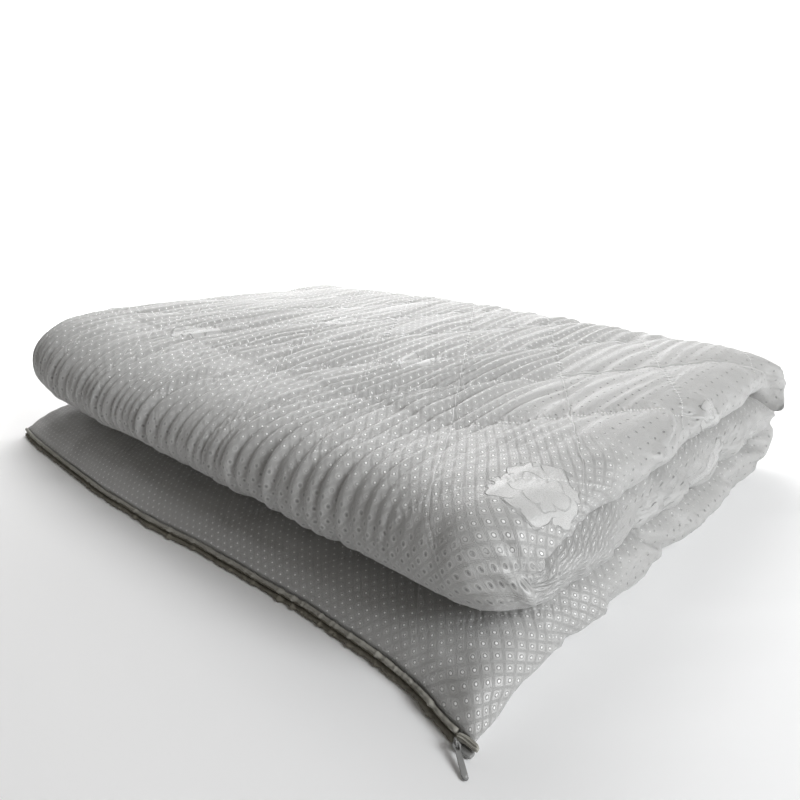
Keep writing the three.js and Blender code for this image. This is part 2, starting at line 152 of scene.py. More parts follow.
# Pulls in the cloth of the right side: start and end as (y, z), width and height, valleys with a
# height below zero
PULLS = (
    ((204, 128), (292, 153), 3.4, 3.4),
    ((222, 122), (304, 148), 4.6, -3.2),
    ((300, 124), (352, 150), 3.6, 3.2),
    ((322, 118), (372, 146), 5.0, -3.4),
    ((214, 66), (285, 101), 3.6, 4.2),
    ((228, 60), (300, 94), 5.0, -4.0),
    ((196, 70), (262, 100), 4.5, -2.8),
    ((268, 60), (334, 99), 4.2, 3.4),
    ((120, 60), (176, 96), 4.8, 3.2),
    ((134, 58), (196, 92), 5.0, -3.0),
    ((340, 58), (420, 96), 4.8, 4.0),
    ((358, 54), (436, 90), 5.0, -4.2),
    ((420, 62), (470, 96), 4.6, 3.6),
    ((8, 112), (36, 78), 3.6, 4.0),
    ((18, 112), (46, 82), 3.8, -4.2),
    ((40, 76), (70, 82), 3.2, -5.0),
    ((42, 84), (70, 90), 3.6, 3.6),
    ((84, 90), (132, 82), 5.0, 3.2),
    ((70, 94), (30, 84), 4.4, 3.0),
    ((232, 46), (276, 16), 3.4, -4.6),
    ((222, 42), (262, 12), 5.0, 3.0),
    ((60, 42), (96, 10), 5.0, -3.2),
    ((420, 38), (470, 16), 5.0, -3.6),
    ((470, 46), (530, 30), 5.0, 3.8),
    ((484, 36), (540, 18), 5.0, -3.8),
    ((500, 92), (566, 74), 3.6, 4.2),
    ((508, 84), (570, 62), 4.2, -5.0),
    ((540, 142), (592, 104), 4.0, 3.6),
    ((520, 136), (580, 96), 4.2, -4.0),
    ((150, 20), (230, 34), 9.0, -2.6),
    ((300, 22), (400, 34), 9.0, 2.6),
)

# Knots where the cloth gathers: middle, reach, folds round it and their height
KNOTS = (
    ((450, 26, 113), 34.0, 7, 3.2),
    ((448, 500, 64), 30.0, 6, 2.6),
    ((452, 68, 84), 22.0, 6, 1.6),
)

# Flowers woven into the cloth, with five petals: place across and along, size and turn
PETALS = 5
FLOWERS = (
    (0.424, 0.078, 0.036, 0.6),
    (0.455, 0.350, 0.019, 2.0),
    (-0.200, 0.150, 0.034, 0.2),
    (-0.090, 0.330, 0.030, 1.7),
    (0.130, 0.250, 0.028, 0.9),
    (0.452, -0.330, 0.022, 0.4),
    (0.300, -0.930, 0.030, 0.4),
)

# Camera: place in the plan in millimetres, turns in degrees and focal length in millimetres
CAMERA_PLACE = np.array([688.8, -338.8, 394.0])
CAMERA_AZIMUTH = 44.737
CAMERA_PITCH = 19.395
CAMERA_ROLL = -1.796
CAMERA_SENSOR = 36.0
CAMERA_LENS = 31.21

# Lights in metres: size, place, target and colour
WHITE = (1.0, 1.0, 1.0)
LIGHTS = {
    "key": (1.0, (2.15, 0.0, 1.3), (0.1, 0.0, 0.08), (0.97, 0.985, 1.0)),
    "fill": (1.6, (-1.5, 1.9, 1.5), (0.0, 0.0, 0.1), WHITE),
    "backdrop": (3.0, (-1.6, 1.6, 3.4), (-3.8, 3.8, 0.6), WHITE),
}
SKY_COLOUR = (1.0, 0.955, 0.90)

# Floor in metres: where it starts and bends up, the bend's radius, its half width and height
FLOOR_NEAR, FLOOR_FAR, FLOOR_BEND, FLOOR_HALF, FLOOR_HEIGHT = -6.0, 4.0, 2.0, 9.0, 9.0


def length(name, description, default):
    """A setting that is a length, in metres."""
    return bpy.props.FloatProperty(name=name, description=description, default=default, unit="LENGTH")


def power(name, description, default):
    """A setting that is a light's power, in watts."""
    return bpy.props.FloatProperty(name=name, description=description, default=default, unit="POWER")


def tint(name, description, default):
    """A setting that is a colour."""
    return bpy.props.FloatVectorProperty(
        name=name, description=description, default=default, subtype="COLOR"
    )


class QuiltSettings(bpy.types.PropertyGroup):
    """Sizes of the pad and its quilting."""

    layer_top: length("Bottom layer", "Height of the bottom layer", 0.05)
    layer_gap: length("Gap", "Gap between the folded layers", 0.0015)
    middle_top: length("Middle layer", "Height of the middle layer's top", 0.1015)
    stack_top: length("Stack", "Height of the folded stack", 0.154)
    stitch_depth: length("Quilting depth", "Depth of the stitched valleys", 0.0042)
    ridge_height: length("Ridge height", "Height of the creases round the front fold", 0.0064)


class ClothColours(bpy.types.PropertyGroup):
    """Colours of the cover, the zip and the floor."""

    satin: tint("Satin", "Ground colour of the cover", (0.44, 0.438, 0.43))
    shade: tint("Shade", "Colour of the woven lines", (0.25, 0.25, 0.245))
    # The dots take this colour too: their lightness is partly a painted highlight of satin catching the
    # light
    thread: tint("Thread", "Colour of dots and stitches", (0.97, 0.97, 0.96))
    # Olive-brown and dark: part of the tint and the darkness is painted shade, the warm shade the zip lies
    # in
    tape: tint("Tape", "Colour of the zip tape", (0.22, 0.205, 0.165))
    # Darkened towards the cover's look in shade: part of this darkness is painted shade
    piping: tint("Piping", "Colour of the piped edges", (0.36, 0.35, 0.31))
    pull: tint("Pull", "Colour of the slider and pull", (0.25, 0.25, 0.245))
    floor: tint("Floor", "Colour of the floor", (0.90, 0.90, 0.90))


class StageSettings(bpy.types.PropertyGroup):
    """Strength of the lights."""

    key_power: power("Key light", "Power of the big soft light", 47.0)
    fill_power: power("Fill light", "Power of the fill light", 7.0)
    backdrop_power: power("Backdrop light", "Power of the light on the far floor", 560.0)
    sky: bpy.props.FloatProperty(
        name="Sky", description="Brightness all round", default=0.15, min=0, subtype="FACTOR"
    )


def mm(value):
    """A length in metres as millimetres."""
    return value / MM


def mix(p, q, t):
    """From p at t = 0 to q at t = 1."""
    return p + (q - p) * t


def ramp(value, start, end):
    """0 at start, 1 at end, straight between and level outside."""
    return np.clip((value - start) / (end - start), 0, 1)


def ease(value, start, end):
    """Like ramp, with soft ends: 3t² - 2t³."""
    t = ramp(value, start, end)
    return t * t * (3 - 2 * t)


def bell(value, width):
    """Bell curve: 1 at zero, falling to 0.6 at one width."""
    return np.exp(-0.5 * (value / width) ** 2)


def soft_table(x, xs, ys, width=22.0):
    """A table's value at x, averaged over five places within width so that it has no kinks."""
    return np.mean([np.interp(x + k * width, xs, ys) for k in (-1, -0.5, 0, 0.5, 1)], axis=0)


def noise(u, v, seed):
    """Value noise from -1 to 1: random heights on a unit lattice, joined by 3t² - 2t³."""
    table = np.random.default_rng(seed).uniform(-1, 1, (256, 256))
    iu, iv = np.floor(u).astype(int), np.floor(v).astype(int)
    fu, fv = u - iu, v - iv
    fu, fv = fu * fu * (3 - 2 * fu), fv * fv * (3 - 2 * fv)
    iu, iv = iu % 256, iv % 256
    ju, jv = (iu + 1) % 256, (iv + 1) % 256
    low = mix(table[iu, iv], table[ju, iv], fu)
    high = mix(table[iu, jv], table[ju, jv], fu)
    return mix(low, high, fv)


def unit(vectors):
    """Vectors scaled to length one."""
    return vectors / np.maximum(np.linalg.norm(vectors, axis=-1, keepdims=True), 1e-9)


def fold_sides(before, fold, after, t):
    """Side sizes round a fold: from one layer's to the fold's own over its first half, then on."""
    a, b, c = (np.array(SIDES[key], float)[:, None] for key in (before, fold, after))
    return np.where(t < 0.5, mix(a, b, 2 * t), mix(b, c, 2 * t - 1))


def stretch(a_y, a_z, b_y, b_z, sides, **more):
    """One stretch of the pad's section: faces A and B row by row, with its side sizes."""
    shape = np.shape(a_y)
    rows = {"a_y": a_y, "a_z": a_z, "b_y": b_y, "b_z": b_z}
    rows = {key: np.broadcast_to(np.asarray(value, float), shape) for key, value in rows.items()}
    for key, value in zip(("right", "left", "round_a", "round_b"), sides):
        rows[key] = np.broadcast_to(value, shape)
    for key in ("quilt", "quilt_b", "fold", "follow", "top", "nose", "nose_turn", "ledge"):
        rows[key] = np.broadcast_to(np.asarray(more.get(key, 0.0), float), shape)
    return rows


def even_steps(curve, start, end, step):
    """Parameters from start to end at which the curve's points are about step apart."""
    dense = np.linspace(start, end, 2001)
    y, z = curve(dense)
    path = np.concatenate([[0], np.cumsum(np.hypot(np.diff(y), np.diff(z)))])
    wanted = np.arange(0, path[-1] - step / 2, step)
    return np.interp(wanted, path, dense)


def pad_rows(quilt):
    """The pad's section from the free end of the top layer to the zipped front edge.

    The layers are level, the free end is a quarter circle that hangs, and each fold is half an
    ellipse about its crease.
    """
    low, gap = mm(quilt.layer_top), mm(quilt.layer_gap)
    middle_top, top = mm(quilt.middle_top), mm(quilt.stack_top)
    middle_low, top_low = low + gap, middle_top + gap
    sides = {key: np.array(value, float)[:, None] for key, value in SIDES.items()}

    t = np.linspace(FREE_END["tip"], math.pi / 2, 15)[:-1]
    y = FREE_END["y"] + FREE_END["depth"] * np.cos(t) ** 0.8
    centre = (top + top_low) / 2 - FREE_END["droop"] * np.cos(t) ** 2
    rise = (top - top_low) / 2 * np.sin(t) ** 0.6
    near_end = np.sin(t) ** 4
    parts = [stretch(y, centre + rise, y, centre - rise, sides["top"], quilt=near_end, top=1)]

    first, last = round((FREE_END["y"] - LATTICE[1]) / ROW), round((FRONT_FOLD["y"] - LATTICE[1]) / ROW)
    y = LATTICE[1] + ROW * np.arange(first, last, -1)
    parts.append(stretch(y, top, y, top_low, sides["top"], quilt=1, top=1))

    fold_z = (middle_top + top_low) / 2

    def nose(t):
        power = np.where(t < math.pi / 2, 1, FRONT_FOLD["fullness"])
        height = np.where(t < math.pi / 2, top - fold_z, fold_z - middle_low)
        rise = np.sign(np.cos(t)) * np.abs(np.cos(t)) ** power
        out = np.maximum(np.sin(t), 0) ** power
        return FRONT_FOLD["y"] - FRONT_FOLD["depth"] * out, fold_z + height * rise

    t = even_steps(nose, 0, math.pi, ROW)
    y, z = nose(t)
    crease_y = FRONT_FOLD["y"] - FRONT_FOLD["crease"] * np.sin(t)
    crease_z = fold_z + gap / 2 * np.cos(t)
    parts.append(
        stretch(
            y, z, crease_y, crease_z, fold_sides("top", "front_fold", "middle", t / math.pi),
            quilt=0.55 * np.maximum(0, np.cos(0.75 * t)), fold=np.sin(t) ** 2, nose=1, nose_turn=t,
        )
    )

    y = np.linspace(FRONT_FOLD["y"], BACK_FOLD["y"], 50)[:-1]
    parts.append(stretch(y, middle_low, y, middle_top, sides["middle"]))

    back_z = (low + middle_low) / 2

    def back(t):
        height = np.where(t < math.pi / 2, middle_top - back_z, back_z)
        return BACK_FOLD["y"] + BACK_FOLD["depth"] * np.sin(t), back_z + height * np.cos(t)

    t = even_steps(back, 0, math.pi, 5.5)
    y, z = back(t)
    crease_y = BACK_FOLD["y"] + BACK_FOLD["crease"] * np.sin(t)
    crease_z = back_z + gap / 2 * np.cos(t)
    turned = fold_sides("middle", "back_fold", "bottom", t / math.pi)
    parts.append(stretch(crease_y, crease_z, y, z, turned, quilt_b=np.sin(t) ** 2))

    y = np.linspace(BACK_FOLD["y"], LEDGE_Y[-1], 58)[:-1]
    parts.append(stretch(y, low, y, 0, sides["bottom"], quilt=0.6 * ease(y, 200, LEDGE_Y[-1])))

    def ledge(y):
        return y, soft_table(y, LEDGE_Y, LEDGE_TOP, 5)

    y = np.append(even_steps(ledge, LEDGE_Y[-1], LEDGE_Y[0], 3.4), LEDGE_Y[0])
    t = ramp(y, LEDGE_Y[-1], LEDGE_Y[0])
    parts.append(
        stretch(
            y, ledge(y)[1], y, 0, fold_sides("bottom", "ledge", "front_edge", t),
            follow=np.interp(y, LEDGE_Y, LEDGE_FOLLOW), quilt=0.6 * (1 - t), ledge=1,
        )
    )
    rows = {key: np.concatenate([part[key] for part in parts]) for key in parts[0]}
    rows["path_a"] = path_of(rows["a_y"], rows["a_z"], FRONT_FOLD["y"])
    rows["path_b"] = path_of(rows["b_y"], rows["b_z"], FRONT_FOLD["y"])
    return rows


def path_of(y, z, start):
    """Running length of a face, falling along the pad and equal to y on the top layer."""
    steps = np.hypot(np.diff(y), np.diff(z))
    path = y[0] - np.concatenate([[0], np.cumsum(steps)])
    first = int(np.argmax(y <= start + 1e-6))
    return path + y[first] - path[first]


def ring_columns():
    """Columns round the pad: face A from left tip to right tip, then face B back to the left.

    Each has a hand, the X of the flat part, its share of the way round the side, and its face.
    Face A has two columns for each one of face B.
    """
    def chain(flat, side, step):
        x = np.concatenate([[-SIDE_FROM] * side, np.arange(-flat, flat + 1) * step, [SIDE_FROM] * side])
        share = np.concatenate([np.arange(side, 0, -1), np.zeros(2 * flat + 1), np.arange(1, side + 1)])
        return x, share / side

    columns = int(SIDE_FROM / COLUMN)
    flat = columns // 2 * 2
    x_a, share_a = chain(flat, 12, SIDE_FROM / flat)
    x_b, share_b = chain(flat // 2, 6, 2 * SIDE_FROM / flat)
    x = np.concatenate([x_a, x_b[-2:0:-1]])
    share = np.concatenate([share_a, share_b[-2:0:-1]])
    face = np.concatenate([np.ones(len(x_a)), -np.ones(len(x_b) - 2)])
    return {"x": x, "share": share, "face": face, "upper": len(x_a)}


def lattice_distance(x, path):
    """Distance to the nearest line of the quilting, as a share from 0 on it to 1 mid-diamond."""
    u, w = (x - LATTICE[0]) / DIAMOND[0], (path - LATTICE[1]) / DIAMOND[1]
    one, other = u + w, u - w
    return 2 * np.abs(one - np.round(one)), 2 * np.abs(other - np.round(other))


def base_pad(rows, columns):
    """Points of the smooth pad, and for each its X, its height from -1 on face B to 1 on face A.

    A side is a quarter ellipse from each face to the middle of the thickness.
    """
    pick = {key: value[:, None] for key, value in rows.items()}
    x, share, face = columns["x"][None], columns["share"][None], columns["face"][None]
    hand = np.sign(x)
    phase = np.where(hand > 0, LATTICE[1], LATTICE[1] + DIAMOND[1] / 2)
    pull = np.maximum(0, np.cos(2 * np.pi * (pick["path_a"] - phase) / DIAMOND[1]))
    reach = np.where(hand > 0, pick["right"], pick["left"]) - DRAWN_IN * pull**2
    rounding = np.where(face > 0, pick["round_a"], pick["round_b"]) * np.where(hand > 0, 1, LEFT_ROUNDING)
    out = SIDE_FROM + (reach - SIDE_FROM) * np.sin(share * np.pi / 2)
    x = np.where(share > 0, hand * out, x)
    beyond = np.maximum(0, (np.abs(x) - reach + rounding) / rounding)
    height = face * np.sqrt(np.maximum(0, 1 - beyond**2))

    part = (1 + height) / 2
    back = pick["fold"] * np.maximum(0, height) * soft_table(x, FOLD_PLAN_X, FOLD_PLAN_BACK)
    y = mix(pick["b_y"], pick["a_y"], part) + back
    y = y + pick["follow"] * soft_table(x, EDGE_PLAN_X, EDGE_PLAN_BACK, 12)
    z = mix(pick["b_z"], pick["a_z"], part) - pick["top"] * hang(x, y)
    y = y + END_PUSH * pick["top"] * ease(x, 250, 430) * ease(y, 560, 590)
    shoulder = pick["nose"] * np.where(pick["nose_turn"] < np.pi / 2, np.sin(2 * pick["nose_turn"]) ** 2, 0)
    shoulder = shoulder * np.maximum(0, height) * mix(0.3, 1, ease(x, 60, 340))
    y, z = y - SHOULDER[0] * shoulder, z + SHOULDER[1] * shoulder
    return np.stack([x, y, z + loft(x, y, z)], -1), x + 0 * z, height


def hang(x, y):
    """How far the free end hangs down along the back fold, most at the right."""
    turned = np.sqrt(np.clip(1 - ((y - BACK_FOLD["y"]) / (BACK_FOLD["depth"] + 5)) ** 2, 0, 1))
    room = np.where(y > BACK_FOLD["y"], END_DROP * (1 - turned), 0)
    return room * mix(0.2, 0.95, ease(x, -100, 400))


def loft(x, y, z):
    """How much higher a point lies for the loft of the layers under it, or lower where pressed."""
    across = ramp(x, 100, -450) ** 1.5
    along = ramp(y, 60, 460)
    left = mix(LOFT["front_left"], LOFT["back_left"], along)
    lift = mix(LOFT["back_right"] * along, left, across) * ramp(z, 50, 154)
    pressed = ramp(x, -120, -450) * ramp(y, 250, 60)
    return lift - LOFT["press"] * pressed * ramp(z, 0, 50)


def grid_normals(points):
    """Normals of a grid that closes round its columns: along the rows crossed with round them."""
    along = np.gradient(points, axis=0)
    round_it = np.roll(points, -1, axis=1) - np.roll(points, 1, axis=1)
    return unit(np.cross(along, round_it))


def quilting(pick, x, path, height, depth):
    """Valleys along the stitch lines of both faces, the steep ones shallower, and soft crowns.

    A valley falls with the third power of the nearness to its line and has a narrow bell on it.
    """
    one, other = lattice_distance(x, path)
    steep, flat = (0.85 * (1 - near) ** 3 + 0.15 * np.exp(-((near / 0.16) ** 2)) for near in (one, other))
    valley = np.maximum(0.4 * steep, flat)
    crown = 0.4 * (1 - (1 - one) ** 2) * (1 - (1 - other) ** 2)
    on_a, on_b = np.maximum(0, height) ** 2, np.maximum(0, -height) ** 2
    result = pick["quilt"] * on_a * depth * (crown - valley) * mix(0.6, 1, ease(x, -100, 250))
    near_b = np.minimum(*lattice_distance(x, pick["path_b"] + 0 * x))
    return result - pick["quilt_b"] * on_b * depth * (1 - near_b) ** 2


def ridges(pick, x, path, height):
    """Long creases along the path, in shares of their height: |sin| of X, wandering with noise.

    They are highest round the front fold, where they end at a turn of about 110 degrees.
    """
    drift = 13 * noise(x / 62, path / 210, 3) + 5 * noise(x / 27, path / 95, 4)
    arch = np.abs(np.sin(np.pi * (x + drift) / RIDGE_SPACING)) ** 0.9 - 0.62
    uneven = 0.95 + 0.4 * noise(x / 43, path / 300, 11)
    creases = 1.35 * arch * uneven + 0.35 * noise((x + drift) / 7, path / 240, 12)
    fade_from = 108 + 22 * noise(x / 55, 0 * x, 17)
    on_nose = pick["nose"] * (1 - ease(np.degrees(pick["nose_turn"]), fade_from, fade_from + 26))
    rise = ease(path, 430, 120) * pick["top"] + on_nose
    to_right = 1 - 0.8 * ease(x, 250, 390)
    strength = (0.55 * pick["top"] + 0.78 * rise) * to_right * ramp(np.abs(height), 0.2, 0.8)
    return strength * np.maximum(0, height) ** 2 * creases


def looseness(pick, x, path, height):
    """Slow swells, ripples along the path and the ledge's crumples: sums of value noise."""
    swell = noise(x / 75, path / 60, 21) + 0.5 * noise(x / 34, path / 40, 22)
    loose = pick["top"] * 0.6 + pick["nose"] * 0.6 + pick["ledge"] * 1.6
    ripple = noise(x / 9.5, path / 60, 23) * (0.5 * pick["top"] + 0.5 * pick["nose"])
    crumple = noise(x / 22, path / 12, 31) + 0.6 * noise(x / 11, path / 9, 32)
    return np.maximum(0, height) ** 2 * (loose * swell + ripple + 0.55 * pick["ledge"] * crumple)


def relief(rows, x, height, quilt):
    """How far the cloth stands out from the smooth pad, in millimetres."""
    pick = {key: value[:, None] for key, value in rows.items()}
    path = pick["path_a"] + 0 * x
    result = quilting(pick, x, path, height, mm(quilt.stitch_depth))
    result = result + mm(quilt.ridge_height) * ridges(pick, x, path, height)
    return result + looseness(pick, x, path, height)


def gathers(points):
    """How far the cloth stands out for its single pulls and knots.

    A pull is a bell curve of the distance to its line. A knot is a dimple with folds that spread
    from it.
    """
    result = np.zeros(points.shape[:2])
    on_right = ease(points[..., 0], 380, 425)
    for start, end, width, height in PULLS:
        start, end = np.array(start, float), np.array(end, float)
        along, offset = end - start, points[..., 1:] - start
        t = np.clip(offset @ along / (along @ along), 0, 1)
        away = np.linalg.norm(offset - t[..., None] * along, axis=-1)
        fade = 0.35 + 0.65 * np.sin(np.pi * (0.1 + 0.8 * t))
        result += 1.7 * height * on_right * fade * bell(away, 0.8 * width)
    for middle, reach, folds, height in KNOTS:
        offset = points - np.array(middle, float)
        away = np.linalg.norm(offset, axis=-1)
        angle = np.arctan2(offset[..., 2], offset[..., 1])
        spread = np.cos(folds * angle + 2.2 * np.sin(2 * angle + 0.7) + away / 9)
        result += height * spread * bell(away - 0.45 * reach, 0.3 * reach)
        result -= height * bell(away, 0.22 * reach)
    return result


def side_relief(rows, x, height, share):
    """How far a side stands out: soft upright pulls where the stitch lines reach it."""
    path = rows["path_a"][:, None] + 0 * x
    on_side = ease(share[None] + 0 * x, 0.0, 0.5) * (1 - np.abs(height)) ** 0.5
    pulls = noise(path / 19 + height * 0.9, height * 1.4 + np.sign(x) * 7, 41)
    fine = noise(path / 8.5 + height * 1.3, height * 2.2 + np.sign(x) * 7, 42)
    return on_side * (3.6 * pulls + 1.5 * fine)


def grid_faces(rows, count, split):
    """Two triangles for each square of a grid that closes round its columns, halved as split says."""
    r, c = np.meshgrid(np.arange(rows - 1), np.arange(count), indexing="ij")
    a, b = r * count + c, r * count + (c + 1) % count
    d, e = a + count, b + count
    one = np.stack([np.stack([a, d, b], -1), np.stack([b, d, e], -1)], -2)
    other = np.stack([np.stack([a, e, b], -1), np.stack([a, d, e], -1)], -2)
    return np.where(split[:, :, None, None], other, one).reshape(-1, 3)


def cap_faces(start, upper, total):
    """Triangles that close a ring whose upper chain has two points for each one below."""
    lower = np.concatenate([[0], np.arange(total - 1, upper - 1, -1), [upper - 1]])
    j = np.arange(len(lower) - 1)
    one = np.stack([2 * j, 2 * j + 1, lower[j]], -1)[1:]
    two = np.stack([2 * j + 1, 2 * j + 2, lower[j + 1]], -1)[:-1]
    three = np.stack([2 * j + 1, lower[j + 1], lower[j]], -1)
    return np.concatenate([one, two, three]) + start


def new_mesh(name, points, triangles, uv=None, values=None):
    """A smooth mesh object from points in millimetres of the plan and triangles.

    uv holds a place for each corner of a triangle, and values hold numbers for each point.
    """
    mesh = bpy.data.meshes.new(name)
    points = (np.asarray(points, float).reshape(-1, 3) + SHIFT) * MM
    triangles = np.asarray(triangles, int).reshape(-1, 3)
    mesh.vertices.add(len(points))
    mesh.vertices.foreach_set("co", points.astype(np.float32).ravel())
    mesh.loops.add(triangles.size)
    mesh.loops.foreach_set("vertex_index", triangles.astype(np.int32).ravel())
    mesh.polygons.add(len(triangles))
    mesh.polygons.foreach_set("loop_start", np.arange(0, triangles.size, 3, dtype=np.int32))
    mesh.polygons.foreach_set("use_smooth", np.ones(len(triangles), bool))
    if uv is not None:
        mesh.uv_layers.new(name="cloth").data.foreach_set("uv", (uv * MM).astype(np.float32).ravel())
    for key, value in (values or {}).items():
        attribute = mesh.attributes.new(key, "FLOAT", "POINT")
        attribute.data.foreach_set("value", np.asarray(value, np.float32).ravel())
    mesh.update(calc_edges=True)
    mesh.validate()
    piece = bpy.data.objects.new(name, mesh)
    bpy.context.scene.collection.objects.link(piece)
    return piece


def settle(piece, material, node):
    """Gives a piece its material and slot, lets it ride on the body and stand for its node."""
    piece.data.materials.append(material)
    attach(piece, BODY)
    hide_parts(node)


def cloth_places(columns, path, triangles):
    """Each corner's place in the cloth: across, from the left tip all the way round, and along."""
    total = len(columns["x"])
    half_round = SIDE_FROM + SIDE_CLOTH
    across = columns["x"] + np.sign(columns["x"]) * SIDE_CLOTH * columns["share"]
    across = np.where(columns["face"] > 0, across, 2 * half_round - across)
    column = triangles % total
    wraps = (column == 0) & (column.max(1, keepdims=True) == total - 1)
    across = np.where(wraps, 3 * half_round, across[column])
    return np.stack([across, path[triangles // total, column]], -1).reshape(-1, 2)


def cloth_marks(rows, columns, x, height):
    """Shares for each point: stitched, dotted with pinholes, and with its dots painted dark as shade at the
    front of the front fold.
    """
    pick = {key: value[:, None] + 0 * x for key, value in rows.items()}
    # Painted shade: the satin dots at the front of the front fold, which faces away from the light, are
    # coloured dark
    dim = pick["nose"] * ease(np.degrees(pick["nose_turn"]), 50, 75) * ease(pick["path_a"], -75, -45)
    on_sides = ease(columns["share"][None] + 0 * x, 0.3, 0.8) * ease(pick["a_y"], 120, 200)
    on_top = ease(x, 250, 330) * ease(pick["path_a"], 150, 230) * pick["top"]
    pinhole = np.clip(np.maximum(on_top, on_sides), 0, 1)
    return {"quilted": pick["quilt"] * np.maximum(0, height) ** 0.5, "pinhole": pinhole, "dim": dim}


def make_pad(settings):
    """The quilted pad: the smooth pad's grid, moved along its normals by the relief."""
    rows, columns = pad_rows(settings), ring_columns()
    points, x, height = base_pad(rows, columns)
    moved = relief(rows, x, height, settings) + side_relief(rows, x, height, columns["share"])
    moved = moved + gathers(points)
    points = points + grid_normals(points) * moved[..., None]
    points[..., 2] = np.maximum(points[..., 2], 0)

    total_rows, total = x.shape
    path = mix(rows["path_b"][:, None], rows["path_a"][:, None], (1 + height) / 2)
    one, other = lattice_distance(x, path)
    split = ((one - other)[:-1] > 0) & (columns["face"] > 0)[None]
    first_cap = cap_faces(0, columns["upper"], total)
    last_cap = cap_faces((total_rows - 1) * total, columns["upper"], total)
    triangles = np.concatenate([grid_faces(total_rows, total, split), first_cap, last_cap[:, ::-1]])
    places = cloth_places(columns, path, triangles)
    return new_mesh("quilted_pad", points, triangles, places, cloth_marks(rows, columns, x, height))


class Field:
    """A socket of a node tree that Python's operators extend with Math nodes."""

    def __init__(self, tree, socket):
        self.tree, self.socket = tree, socket

    def _math(self, operation, *values):
        return self.tree.node("ShaderNodeMath", {"operation": operation}, dict(enumerate(values)))

    def __add__(self, other):
        return self._math("ADD", self, other)

    def __radd__(self, other):
        return self._math("ADD", other, self)

    def __sub__(self, other):
        return self._math("SUBTRACT", self, other)

    def __rsub__(self, other):
        return self._math("SUBTRACT", other, self)

    def __mul__(self, other):
        return self._math("MULTIPLY", self, other)

    def __rmul__(self, other):
        return self._math("MULTIPLY", other, self)

    def __truediv__(self, other):
        return self._math("DIVIDE", self, other)

    def __abs__(self):
        return self._math("ABSOLUTE", self)

    def min(self, other):
        return self._math("MINIMUM", self, other)

    def max(self, other):
        return self._math("MAXIMUM", self, other)

    def fract(self):
        return self._math("FRACT", self)

    def atan2(self, other):
        return self._math("ARCTAN2", self, other)

    def sin(self):
        return self._math("SINE", self)

    def root(self):
        return self._math("SQRT", self.max(0.0))

    def clamp(self):
        return self.min(1.0).max(0.0)

    def step(self, start, end):
        """0 at start and 1 at end, with soft ends."""
        return self.tree.node(
            "ShaderNodeMapRange", {"interpolation_type": "SMOOTHSTEP"}, {0: self, 1: start, 2: end}
        )


class Tree:
    """A material's node tree, built by one method for every kind of node."""

    def __init__(self, name):
        self.material = bpy.data.materials.new(name)
        self.material.use_nodes = True
        self.nodes, self.links = self.material.node_tree.nodes, self.material.node_tree.links
        self.nodes.clear()
        self.shader = self.nodes.new("ShaderNodeBsdfPrincipled")
        output = self.nodes.new("ShaderNodeOutputMaterial")
        self.links.new(self.shader.outputs[0], output.inputs["Surface"])

    def node(self, kind, settings=None, inputs=None, output=0):
        """A new node: its settings first, then the values or links of its sockets."""
        made = self.nodes.new(kind)
        for key, value in (settings or {}).items():
            setattr(made, key, value)
        for key, value in (inputs or {}).items():
            self.set(made.inputs[key], value)
        return Field(self, made.outputs[output])

    def set(self, socket, value):
        if isinstance(value, Field):
            self.links.new(value.socket, socket)
        elif hasattr(value, "__len__") and len(value) == 3 and socket.type == "RGBA":
            socket.default_value = (*value, 1.0)
        else:
            socket.default_value = value

    def uv(self):
        """The cloth's own two lengths, in metres: across and along the pad."""
        place = self.node("ShaderNodeUVMap", {"uv_map": "cloth"})
        across = self.node("ShaderNodeSeparateXYZ", None, {0: place})
        return across, Field(self, across.socket.node.outputs[1])

    def value_of(self, name):
        return self.node("ShaderNodeAttribute", {"attribute_name": name}, None, "Fac")

    def vector(self, x, y, z=0.0):
        return self.node("ShaderNodeCombineXYZ", None, {0: x, 1: y, 2: z})

    def noise(self, vector, scale, detail=2.0, roughness=0.5):
        values = {"Vector": vector, "Scale": scale, "Detail": detail, "Roughness": roughness}
        return self.node("ShaderNodeTexNoise", None, values)

    def blend(self, factor, one, other):
        """Colour from one to the other."""
        return self.node("ShaderNodeMix", {"data_type": "RGBA"}, {0: factor, 6: one, 7: other}, 2)

    def bump(self, height, distance, strength):
        values = {"Height": height, "Distance": distance, "Strength": strength}
        return self.node("ShaderNodeBump", None, values)

    def finish(self, **sockets):
        for key, value in sockets.items():
            self.set(self.shader.inputs[key.replace("_", " ").title().replace("Ior", "IOR")], value)
        return self.material


def dots_and_frames(u, v):
    """Dots in rings inside double lined diamonds, from the distance to the middle of each cell."""
    p, q = u / DOT_PITCH[0], v / DOT_PITCH[1]
    along, across = (p + q).fract() - 0.5, (p - q).fract() - 0.5
    radius = (along * along + across * across).root()
    border = abs(along).max(abs(across))
    dot = radius.step(0.135, 0.085)
    ring = abs(radius - 0.165).step(0.035, 0.012)
    halo = abs(radius - 0.25).step(0.05, 0.02)
    frames = abs(border - 0.405).step(0.04, 0.012).max(border.step(0.46, 0.49))
    return dot, ring, halo, frames


def pinholes(u, v):
    """A grid of small holes, from the distance to the middle of each cell."""
    across, along = (u / PINHOLE_PITCH[0]).fract() - 0.5, (v / PINHOLE_PITCH[1]).fract() - 0.5
    return (across * across + along * along).root().step(0.12, 0.05)


def flowers(u, v, wander):
    """Petals and their outlines: the radius is the root of |sin| of half the petals' angle."""
    petals, outlines = None, None
    for across_it, along_it, size, turn in FLOWERS:
        du, dv = u - across_it, v - along_it
        angle = dv.atan2(du) + turn + wander * 2.4
        edge = abs((angle * (PETALS / 2)).sin()).root() * 0.36 + 0.64
        out = (du * du + dv * dv).root() / (edge * size) + wander * 0.7
        inside = out.step(1.02, 0.98)
        line = abs(out - 1.0).step(0.045, 0.015).max(abs(out - 0.52).step(0.035, 0.012) * 0.7)
        petals = inside if petals is None else petals.max(inside)
        outlines = line if outlines is None else outlines.max(line)
    return petals, outlines


